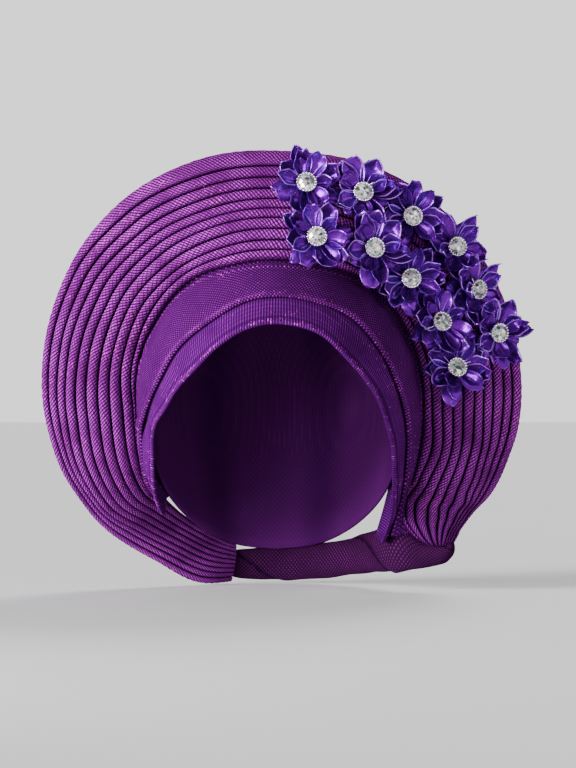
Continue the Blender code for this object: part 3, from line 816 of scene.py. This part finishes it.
def brow_cloth(finish):
    def station_at(share):
        row = row_at(BROW_ROWS, share)
        width = (head_point(row.high_azimuth, row.high, brow_inside())
                 - head_point(row.low_azimuth, row.low, brow_inside())).length

        def place(part, rise):
            azimuth = between(row.low_azimuth, row.high_azimuth, part)
            height = between(row.low, row.high, part)
            part = max(0.0, min(1.0, part))
            swell = 4 * part**1.2 * (1 - part**1.2) * row.belly * BROW_BELLY
            return head_point(azimuth, height, brow_inside() + swell + rise)

        def outer(far):
            fold = 0.0005 * ripple(far * 260, share * 9, 2.0) * smooth(0.002, 0.006, far)
            return HEM_RISE * bell(far, HEM_WIDTH * 0.7, HEM_WIDTH * 0.5) + max(-0.0002, fold)

        # Painted shade: darker in the crease between the hem and the band's face, lighter on the hem, and
        # darker towards the right side
        def lit_share(far):
            field = smooth(HEM_WIDTH * 2.2, HEM_WIDTH * 3.4, far)
            shade = 1 - 0.18 * smooth(0.55, 0.80, share)
            return shade * (0.42 + 0.58 * field + 0.58 * bell(far, HEM_WIDTH * 0.6, HEM_WIDTH * 0.9))

        # Painted highlight along the hem, faded towards the right side as painted shade
        def hem_highlight(far):
            return bell(far, HEM_WIDTH * 1.1, HEM_WIDTH * 0.7) * (1 - 0.6 * smooth(0.55, 0.75, share))

        return place, width, outer, lit_share, hem_highlight

    piece = band_piece("brow_cloth", station_at, finish)
    ride(piece, "cloth", "brow_band")


def cross_cloth(finish):
    def station_at(share):
        row = row_at(CROSS_ROWS, share)
        edge = row_at(FAN_ROWS, row.fan_row / (len(FAN_ROWS) - 1))
        low_stand = cross_inside() + row.lift * BROW_BELLY
        high_stand = fan_seat() + edge.stand * FAN_STAND - fan_foot(row.fan_row) - EDGE_GAP - BAND_WALL
        low_point = head_point(row.azimuth, row.height, low_stand)
        seen = (head_point(edge.azimuth, edge.height, high_stand) - low_point).length
        full = seen + EDGE_TUCK + 0.003
        top_hem = seen - min(0.0044, 0.4 * seen)
        inner, rim = fan_edges(row.fan_row)
        facing = fan_normal(row.fan_row)
        outwards = (rim - inner).normalized()

        def place(part, rise):
            part = part * full / max(seen, EDGE_TUCK)
            azimuth = between(row.azimuth, edge.azimuth, part)
            height = between(row.height, edge.height, part)
            swell = max(0.0, 4 * part * (1 - part) * CROSS_BELLY)
            stand = between(low_stand, high_stand, min(1.0, part)) + swell
            behind = facing.dot(inner - head_point(azimuth, height, stand + BAND_WALL))
            lip = LIP_REACH * smooth(LIP_START, LIP_START + 0.0012, behind) if part > 1 else 0.0
            return head_point(azimuth, height, stand + rise) + outwards * lip

        def outer(far):
            fold = 0.0004 * ripple(far * 200, share * 8, 5.0) * smooth(0.003, 0.008, far)
            fold *= smooth(full, top_hem - 0.004, far)
            return (HEM_RISE * bell(far, HEM_WIDTH * 0.6, HEM_WIDTH * 0.6) + max(-0.0002, fold)
                    + 0.0009 * bell(far, top_hem, 0.0008)) * smooth(seen, seen - 0.002, far)

        # Painted shade: darker between the hems, fully lit on the hems and the strip above the top hem, and
        # darker towards the gather
        def lit_share(far):
            flat = smooth(top_hem + 0.0003, top_hem + 0.0012, far)
            fold = bell(far, HEM_WIDTH, HEM_WIDTH) + bell(far, top_hem, 0.0008)
            shade = 1 - 0.45 * smooth(17.5, 19.8, row.fan_row)
            return shade * (0.74 + 0.26 * max(fold, flat))

        # Painted highlight along the lower and top hems, faded out towards the gather as painted shade
        def hem_highlight(far):
            fade = 1 - smooth(16.5, 18.5, row.fan_row)
            return fade * (bell(far, HEM_WIDTH * 0.9, HEM_WIDTH * 0.8) + 0.8 * bell(far, top_hem, 0.0010))

        return place, full, outer, lit_share, hem_highlight

    piece = band_piece("cross_cloth", station_at, finish)
    ride(piece, "cloth", "cross_band")


def cap_cloth(finish):
    """The plain cap over the crown and the back of the head, with a narrow hem and shallow drape folds."""
    points = []
    marks = {"lit_share": [], "hem_highlight": []}
    for level in range(CAP_LEVELS + 1):
        for turn in range(CAP_TURNS):
            azimuth = 360 * turn / CAP_TURNS
            hem = row_at(HEM_ROWS, min(azimuth, 360 - azimuth) / 180).height
            drop = 1 - math.cos(math.pi / 2 * level / CAP_LEVELS)
            height = 1 - drop * (1 - hem)
            behind = smooth(100, 140, min(azimuth, 360 - azimuth)) * smooth(0, 12, level)
            fold = 0.0011 * behind * max(0.0, ripple(azimuth / 26, height * 1.7, 3.0) + 0.35)
            edge = 0.0006 * smooth(CAP_LEVELS - 2.2, CAP_LEVELS - 0.8, level) * behind
            points.append(head_point(azimuth, height, CAP_WALL + fold + edge))
            # The cap's lit_share mark: darker in slow stripes round the cap, mixed toward the groove colour
            marks["lit_share"].append(0.75 + 0.25 * math.sin(azimuth / 9))
            marks["hem_highlight"].append(0.0)
    faces = []
    corners = []
    for level in range(CAP_LEVELS):
        for turn in range(CAP_TURNS):
            after = (turn + 1) % CAP_TURNS
            low = level * CAP_TURNS
            faces.append((low + turn, low + after, low + CAP_TURNS + after, low + CAP_TURNS + turn))
            ring = [low + turn, low + after, low + CAP_TURNS + after, low + CAP_TURNS + turn]
            over_crown = points[low].z > -0.28 * CROWN_HEIGHT
            for step, index in zip((0, 1, 1, 0), ring):
                if over_crown:
                    corners.append((points[index].x * 1000, points[index].y * 1000))
                else:
                    round_head = 2 * math.pi * (turn + step) / CAP_TURNS * HEAD_HALF_WIDTH
                    corners.append((round_head * 1000, points[index].z * 1000))
    mesh = bpy.data.meshes.new("cap_cloth")
    mesh.from_pydata(points, [], faces)
    mesh.uv_layers.new(name="weave").data.foreach_set("uv", [value for corner in corners for value in corner])
    add_marks(mesh, marks)
    shape = bmesh.new()
    shape.from_mesh(mesh)
    bmesh.ops.remove_doubles(shape, verts=shape.verts, dist=1e-6)
    shape.to_mesh(mesh)
    shape.free()
    middle = mesh.polygons[len(mesh.polygons) // 2]
    if middle.normal.dot(middle.center + Vector((0, 0, CROWN_HEIGHT))) < 0:
        mesh.flip_normals()
    mesh.shade_smooth()
    piece = new_object("cap_cloth", mesh, finish)
    wall = piece.modifiers.new("wall", "SOLIDIFY")
    wall.thickness = CAP_WALL
    wall.offset = -1.0
    ride(piece, "cloth", "crown_cap")


def roll_cloth(finish):
    """The rolled tail, its cloth wound in a slow spiral with soft creases."""
    up = Vector((0, 0, 1))

    def centre(share):
        row = row_at(ROLL_ROWS, share)
        return head_point(row.azimuth, row.height, row.stand * ROLL_STAND)

    rings = []
    uvs = []
    lit_shares = []
    along = 0.0
    for station in range(ROLL_STATIONS + 1):
        share = station / ROLL_STATIONS
        row = row_at(ROLL_ROWS, share)
        way = centre(share + 0.01) - centre(share - 0.01)
        outwards = up.cross(way).normalized()
        near_end = min(share / 0.03, (1 - share) / 0.05, 1.0)
        end = math.sqrt(max(0.0, 1 - (1 - near_end) ** 2))
        ring = []
        marks = []
        ways = []
        for side in range(ROLL_SIDES + 1):
            turn = 2 * math.pi * side / ROLL_SIDES
            spiral = (turn / (2 * math.pi) - 2.4 * share + 0.1) % 1.0
            lap = 0.10 * smooth(0.0, 0.10, spiral) * (1 - 0.9 * spiral)
            crease = 0.05 * ripple(math.cos(turn) * 1.6, math.sin(turn) * 1.6, share * 16)
            size = (0.90 + lap + crease) * (0.35 + 0.65 * end)
            tall = up * math.sin(turn) * row.tall * ROLL_HALF_HEIGHT
            deep = outwards * math.cos(turn) * row.deep * ROLL_HALF_DEPTH
            if side < ROLL_SIDES:
                ring.append(centre(share) + (tall + deep) * size)
                # Painted shade under the edge of each lap of the spiral
                marks.append(0.25 + 0.75 * smooth(0.0, 0.12, spiral))
            ways.append((along * 1000, side * 60 / ROLL_SIDES))
        along += (centre(share + 1 / ROLL_STATIONS) - centre(share)).length
        rings.append(ring)
        uvs.append(ways)
        lit_shares.append(marks)
    hem_highlights = [[0.0] * ROLL_SIDES for ring in rings]
    piece = ring_piece("roll_cloth", rings, uvs, {"lit_share": lit_shares, "hem_highlight": hem_highlights}, finish)
    ride(piece, "cloth", "nape_roll")


# The flowers


def petal_points(reach, half_width, lift, cup, tip, point, twist):
    """A petal's grid of points, out along +X: a ribbon end drawn in at its root and folded at its tip.
    cup raises its sides, or drops them where it is under 0, and point is how sharply it ends."""
    root = 0.0030
    grid = []
    for row in range(PETAL_ROWS):
        out = row / (PETAL_ROWS - 1)
        if out < 0.6:
            spread = 0.28 + 0.72 * math.sin(math.pi / 2 * out / 0.6)
        else:
            spread = between(1.0, tip, ((out - 0.6) / 0.4) ** point)
        line = []
        for side in PETAL_SIDES:
            x = root + (reach - root) * out
            y = half_width * spread * side
            curl = cup * abs(side) ** 1.9 * math.sin(math.pi * (0.15 + 0.70 * out))
            rolled = 0.00030 * smooth(0.85, 1.0, abs(side)) * out
            vein = -0.0007 * bell(side, 0.0, 0.20) * math.sin(math.pi * out)
            bend = cup * 0.55 * smooth(0.70, 1.0, out)
            line.append(Vector((x, y, lift * out**1.2 + curl + rolled + vein + bend + twist * side * out)))
        grid.append(line)
    return grid


PetalLayer = namedtuple("PetalLayer", "count shift reach width base lift")
# reach and width are shares of a petal's own, and lift is the least that a tip rises.
PETAL_LAYERS = [
    PetalLayer(5, 0.3, 1.08, 1.00, 0.0003, 0.0002),
    PetalLayer(6, 0.0, 1.00, 1.00, 0.0010, 0.0006),
    PetalLayer(6, 0.5, 0.84, 0.90, 0.0025, 0.0018),
]


def flower_mesh(name, seed, finish):
    """Three rounds of ribbon petals round a low pad, the lowest ones long and spread out."""
    chance = random.Random(seed)
    shape = bmesh.new()
    edge_mark = shape.verts.layers.float.new("edge")
    for layer in PETAL_LAYERS:
        for petal in range(layer.count):
            turn = 2 * math.pi * (petal + layer.shift) / layer.count + chance.uniform(-0.20, 0.20)
            base = layer.base
            grid = petal_points(
                PETAL_REACH * layer.reach * chance.uniform(0.84, 1.05),
                PETAL_HALF_WIDTH * layer.width * chance.uniform(0.70, 1.08),
                layer.lift + chance.uniform(0.0, 0.0062),
                chance.choice((0.0034, 0.0044, 0.0052, -0.0030)) * chance.uniform(0.8, 1.1),
                chance.choice((0.06, 0.10, 0.34, 0.50)),
                chance.choice((1.0, 1.25, 1.6, 2.2)),
                chance.uniform(-0.0022, 0.0022),
            )
            spin = Matrix.Rotation(turn, 3, "Z")
            verts = []
            for row, line in enumerate(grid):
                for side, point in zip(PETAL_SIDES, line):
                    vert = shape.verts.new(spin @ point + Vector((0, 0, base)))
                    vert[edge_mark] = 1.0 if abs(side) > 0.9 or row == PETAL_ROWS - 1 else 0.0
                    verts.append(vert)
            columns = len(PETAL_SIDES)
            for i in range(PETAL_ROWS - 1):
                for j in range(columns - 1):
                    a = i * columns + j
                    shape.faces.new((verts[a], verts[a + columns], verts[a + columns + 1], verts[a + 1]))
    mesh = bpy.data.meshes.new(name)
    shape.to_mesh(mesh)
    shape.free()
    mesh.shade_smooth()
    mesh.materials.append(finish)
    return mesh


def turned(profile, sides):
    """A turned shape's points and faces from (radius, height) pairs."""
    points = []
    faces = []
    for radius, height in profile:
        for side in range(sides):
            turn = 2 * math.pi * side / sides
            points.append((radius * math.cos(turn), radius * math.sin(turn), height))
    for i in range(len(profile) - 1):
        for j in range(sides):
            k = (j + 1) % sides
            faces.append((i * sides + j, i * sides + k, (i + 1) * sides + k, (i + 1) * sides + j))
    faces.append(tuple(reversed(range(sides))))
    faces.append(tuple((len(profile) - 1) * sides + j for j in range(sides)))
    return points, faces


def pad_mesh(finish):
    """The flower's pad under its setting, a low rounded cushion of ribbon."""
    steps = 8
    profile = []
    for step in range(steps + 1):
        turn = math.pi * step / steps - math.pi / 2
        radius = HUB_RADIUS * (0.55 + 0.45 * math.cos(turn))
        profile.append((radius, HUB_HEIGHT / 2 + (HUB_HEIGHT / 2 - 0.0001) * math.sin(turn)))
    mesh = bpy.data.meshes.new("flower_pad")
    mesh.from_pydata(*[turned(profile, 32)[0], [], turned(profile, 32)[1]])
    face_outwards(mesh)
    mesh.shade_smooth()
    mesh.materials.append(finish)
    return mesh


def add_wire(shape, turn, length):
    """A bent wire end that shows past the setting's rim."""
    rings = []
    for step in range(7):
        share = step / 6
        out = SETTING_RADIUS * 0.9 + (length + SETTING_RADIUS * 0.1) * share
        aside = 0.0006 * math.sin(math.pi * share)
        middle = Vector((out, aside, 0.0012 + 0.0012 * math.sin(2.2 * share)))
        ring = []
        for side in range(6):
            angle = math.pi * side / 3
            point = middle + WIRE_RADIUS * Vector((0, math.cos(angle), math.sin(angle)))
            ring.append(shape.verts.new(Matrix.Rotation(turn, 3, "Z") @ point))
        rings.append(ring)
    for first, second in zip(rings, rings[1:]):
        for side in range(6):
            after = (side + 1) % 6
            shape.faces.new((first[side], first[after], second[after], second[side]))
    shape.faces.new(rings[0])
    shape.faces.new(rings[-1])


def setting_mesh(finish, wire=0.0, length=0.0):
    """A shallow cup with a ring of beads for its rim, and a wire end if it has a length."""
    inner = SETTING_RADIUS - 2 * BEAD_RADIUS
    profile = [(SETTING_RADIUS * 0.80, 0.0), (SETTING_RADIUS * 0.97, 0.0004), (SETTING_RADIUS, 0.0013),
               (SETTING_RADIUS * 0.96, 0.0016), (inner, 0.0015), (inner * 0.7, 0.0010), (0.0005, 0.0006)]
    points, faces = turned(profile, 48)
    shape = bmesh.new()
    verts = [shape.verts.new(point) for point in points]
    for face in faces:
        shape.faces.new([verts[index] for index in face])
    ring = SETTING_RADIUS - BEAD_RADIUS * 0.9
    for bead in range(BEAD_COUNT):
        turn = 2 * math.pi * bead / BEAD_COUNT
        place = Matrix.Translation(
            (ring * math.cos(turn), ring * math.sin(turn), SETTING_HEIGHT - BEAD_RADIUS * 0.4)
        )
        bmesh.ops.create_icosphere(shape, subdivisions=2, radius=BEAD_RADIUS, matrix=place)
    if length:
        add_wire(shape, wire, length)
    bmesh.ops.recalc_face_normals(shape, faces=shape.faces)
    mesh = bpy.data.meshes.new("setting")
    shape.to_mesh(mesh)
    shape.free()
    mesh.shade_smooth()
    mesh.materials.append(finish)
    return mesh


def stone_mesh(seed, finish):
    """A round brilliant's crown over a shallow back: table, star, kite and girdle facets."""
    chance = random.Random(seed)
    fold = 8
    low = SETTING_HEIGHT * 0.62
    rings = []
    for share, rise, count, shift in (
        (0.50, 1.0, fold, 0.0),
        (0.76, 0.66, fold, 0.5),
        (1.0, 0.18, 2 * fold, 0.0),
        (1.0, 0.05, 2 * fold, 0.0),
    ):
        ring = []
        for step in range(count):
            turn = 2 * math.pi * (step + shift) / count
            ring.append(
                (
                    share * STONE_RADIUS * math.cos(turn),
                    share * STONE_RADIUS * math.sin(turn),
                    low + rise * STONE_RISE,
                )
            )
        rings.append(ring)
    points = [point for ring in rings for point in ring] + [(0.0, 0.0, low - 0.0005)]
    table, star, girdle, rim = 0, fold, 2 * fold, 4 * fold
    faces = []
    points.append((0.0, 0.0, low + STONE_RISE * 1.04))
    for i in range(fold):
        k = (i + 1) % fold
        faces.append((table + i, table + k, len(points) - 1))
        faces.append((table + i, star + i, table + k))
        faces.append((table + k, star + i, girdle + 2 * k, star + k))
        faces.append((star + i, girdle + 2 * i + 1, girdle + (2 * i + 2) % (2 * fold)))
        faces.append((star + i, girdle + 2 * i, girdle + 2 * i + 1))
    for i in range(2 * fold):
        k = (i + 1) % (2 * fold)
        faces.append((girdle + i, rim + i, rim + k, girdle + k))
        faces.append((rim + i, len(points) - 2, rim + k))
    mesh = bpy.data.meshes.new("stone")
    mesh.from_pydata(points, [], faces)
    face_outwards(mesh)
    mesh.attributes.new("facet_flash", "FLOAT", "FACE").data.foreach_set(
        "value", [chance.random() for _ in mesh.polygons]
    )
    mesh.materials.append(finish)
    return mesh


def flower_turn(row):
    """The way a flower faces, square to the fan and then tipped by its row."""
    face = fan_normal(row.fan_row)
    face = Matrix.Rotation(math.radians(row.turn), 3, "Z") @ face
    face = Matrix.Rotation(math.radians(row.nod), 3, "X") @ face
    return face.to_track_quat("Z", "X").to_matrix() @ Matrix.Rotation(math.radians(row.spin), 3, "Z")


def foot_of(node, axis):
    """The middle of a turned node's foot."""
    points = [vert.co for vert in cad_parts[node].data.vertices]
    middle = sum(points, Vector()) / len(points)
    return middle + axis * min((point - middle).dot(axis) for point in points)


def flowers(finishes):
    meshes = [flower_mesh(f"flower_form_{seed}", seed, finishes["satin"]) for seed in (3, 8, 21, 34)]
    pad = pad_mesh(finishes["satin"])
    for number, row in enumerate(FLOWER_ROWS, 1):
        turn = flower_turn(row)
        axis = turn @ Vector((0, 0, 1))
        seat = foot_of(f"setting_{number:02d}", axis)
        hub = Matrix.Translation(seat - axis * (HUB_HEIGHT + SEAT_GAP)) @ turn.to_4x4()
        top = Matrix.Translation(seat) @ turn.to_4x4()
        petals = new_object(f"petals_{number:02d}", meshes[number % len(meshes)], finishes["satin"])
        petals.matrix_world = hub
        wall = petals.modifiers.new("wall", "SOLIDIFY")
        wall.thickness = PETAL_WALL
        wall.offset = 0.0
        centre = new_object(f"pad_{number:02d}", pad, finishes["satin"])
        centre.matrix_world = hub
        angle = math.radians(row.wire)
        aim = turn.transposed() @ Vector((math.cos(angle), 0.0, math.sin(angle)))
        setting = setting_mesh(finishes["silver"], math.atan2(aim.y, aim.x), row.length)
        rim = new_object(f"beaded_setting_{number:02d}", setting, finishes["silver"])
        rim.matrix_world = top
        gem = new_object(
            f"cut_stone_{number:02d}", stone_mesh(number, finishes["crystal"]), finishes["crystal"]
        )
        gem.matrix_world = top
        ride(petals, "satin", f"flower_{number:02d}")
        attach(centre, "root")
        ride(rim, "silver", f"setting_{number:02d}")
        ride(gem, "crystal", f"stone_{number:02d}")


# The stage


def floor_material():
    made = bpy.data.materials.new("floor")
    made.use_nodes = True
    tree = made.node_tree
    shader = tree.nodes["Principled BSDF"]
    tree.links.new(
        mixed(tree, cloudy(tree, 3.0), (0.84, 0.84, 0.85), (0.88, 0.88, 0.88)),
        shader.inputs["Base Color"],
    )
    shader.inputs["Roughness"].default_value = 0.9
    return made


def stage():
    size = 8.0
    low = cad_box[0].z - 0.0004
    mesh = bpy.data.meshes.new("floor")
    corners = [(-size, -size, low), (size, -size, low), (size, size, low), (-size, size, low)]
    mesh.from_pydata(corners, [], [(0, 1, 2, 3)])
    floor = new_object("floor", mesh, floor_material())
    world = bpy.data.worlds.new("pale")
    world.use_nodes = True
    tree = world.node_tree
    place = tree.nodes.new("ShaderNodeTexCoord")
    parts = tree.nodes.new("ShaderNodeSeparateXYZ")
    tree.links.new(place.outputs["Generated"], parts.inputs[0])
    level = scaled(tree, calc(tree, "ABSOLUTE", parts.outputs[2]), 0.15, 0.36)
    strength = calc(tree, "SUBTRACT", 1.45, calc(tree, "MULTIPLY", level, 1.25))
    background = tree.nodes["Background"]
    background.inputs[0].default_value = (0.98, 0.98, 1.0, 1.0)
    tree.links.new(strength, background.inputs[1])
    bpy.context.scene.world = world


def sun(name, place, spread, strength, colour):
    """A far soft light that shines from a place towards the origin."""
    data = bpy.data.lights.new(name, "SUN")
    data.angle = math.radians(spread)
    data.energy = strength
    data.color = colour
    made = bpy.data.objects.new(name, data)
    bpy.context.scene.collection.objects.link(made)
    made.rotation_euler = Vector(place).to_track_quat("Z", "Y").to_euler()


def near_light(name, place, aim, size, power):
    """A round soft light close by, so that it fades across the piece."""
    data = bpy.data.lights.new(name, "AREA")
    data.shape = "DISK"
    data.size = size
    data.energy = power
    made = bpy.data.objects.new(name, data)
    bpy.context.scene.collection.objects.link(made)
    made.location = place
    made.rotation_euler = (Vector(place) - Vector(aim)).to_track_quat("Z", "Y").to_euler()


def lights():
    sun("key", (-0.85, -0.42, 0.20), 26, 7.6, (1.0, 0.98, 0.97))
    near_light("side", (-0.50, -0.60, -0.22), (-0.13, 0.0, -0.13), 0.35, 9.5)
    sun("fill", (0.75, -0.60, 0.15), 40, 0.45, (0.94, 0.96, 1.0))
    sun("back", (0.35, 0.80, 0.60), 30, 2.0, (1.0, 1.0, 1.0))


def camera():
    data = bpy.data.cameras.new("camera")
    data.sensor_width = SENSOR_WIDTH
    data.lens = CAMERA_LENS
    data.clip_end = 50.0
    made = bpy.data.objects.new("camera", data)
    bpy.context.scene.collection.objects.link(made)
    made.location = CAMERA_PLACE
    made.rotation_euler = (math.pi / 2, 0.0, 0.0)
    bpy.context.scene.camera = made


def main():
    for old in [thing for thing in bpy.data.objects if thing.type in ("CAMERA", "LIGHT")]:
        bpy.data.objects.remove(old)
    finishes = {
        "satin": satin_material(),
        "silver": silver_material(),
        "crystal": crystal_material(),
    }
    cap_cloth(cloth_material("plain"))
    brow_cloth(cloth_material("brow"))
    cross_cloth(cloth_material("cross"))
    fan_cloth(cloth_material("pleated"))
    roll_cloth(cloth_material("shaded_roll"))
    flowers(finishes)
    stage()
    lights()
    camera()


main()
